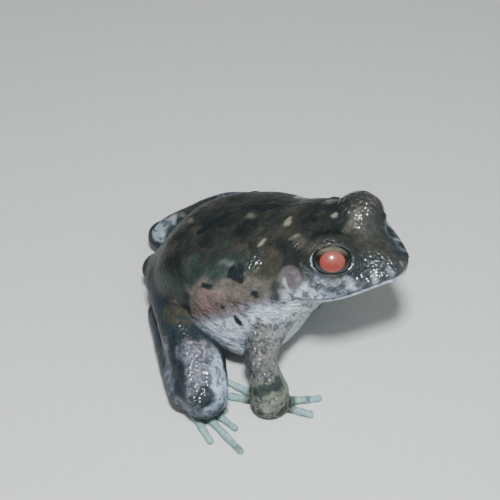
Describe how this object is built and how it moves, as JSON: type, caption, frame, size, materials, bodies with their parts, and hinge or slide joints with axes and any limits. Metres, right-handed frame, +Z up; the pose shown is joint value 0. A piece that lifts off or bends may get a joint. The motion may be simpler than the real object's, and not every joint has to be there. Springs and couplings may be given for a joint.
{
  "type": "still model of a foam-nesting frog",
  "caption": "Life-size still model of a plump frog, leptodactylus fremitus, sitting with straight forelimbs and folded hind limbs, for display or a scene.",
  "frame": {"origin": "the middle of the outer box's floor, level with the flats of the hands and feet", "axes": "+Z up from the floor, -Y towards the snout, +X towards the frog's own left side"},
  "size_m": [0.0478, 0.0486, 0.0306],
  "materials": {
    "torso": "wet glandular skin, dark olive brown with black spots",
    "head": "wet skin, dark olive brown with tan spots",
    "jaw": "wet smooth skin, pale bluish white",
    "eye_left": "wet clear cornea over a dark iris",
    "eye_right": "wet clear cornea over a dark iris",
    "upper_arm_left": "wet skin, brown",
    "upper_arm_right": "wet skin, brown",
    "forearm_left": "wet skin, brownish grey with dark bars",
    "forearm_right": "wet skin, brownish grey with dark bars",
    "hand_left": "wet skin, pale bluish white fingers",
    "hand_right": "wet skin, pale bluish white fingers",
    "thigh_left": "wet skin, banded dark and pale",
    "thigh_right": "wet skin, banded dark and pale",
    "shank_left": "wet skin, banded dark and pale",
    "shank_right": "wet skin, banded dark and pale",
    "tarsus_left": "wet skin, brown",
    "tarsus_right": "wet skin, brown",
    "foot_left": "wet skin, pale grey toes",
    "foot_right": "wet skin, pale grey toes"
  },
  "bodies": {
    "root": {"torso": "torso", "head": "head", "jaw": "jaw", "eye_left": "eye_left", "eye_right": "eye_right", "upper_arm_left": "upper_arm_left", "upper_arm_right": "upper_arm_right", "forearm_left": "forearm_left", "forearm_right": "forearm_right", "hand_left": "hand_left", "hand_right": "hand_right", "thigh_left": "thigh_left", "thigh_right": "thigh_right", "shank_left": "shank_left", "shank_right": "shank_right", "tarsus_left": "tarsus_left", "tarsus_right": "tarsus_right", "foot_left": "foot_left", "foot_right": "foot_right"}
  },
  "joints": []
}
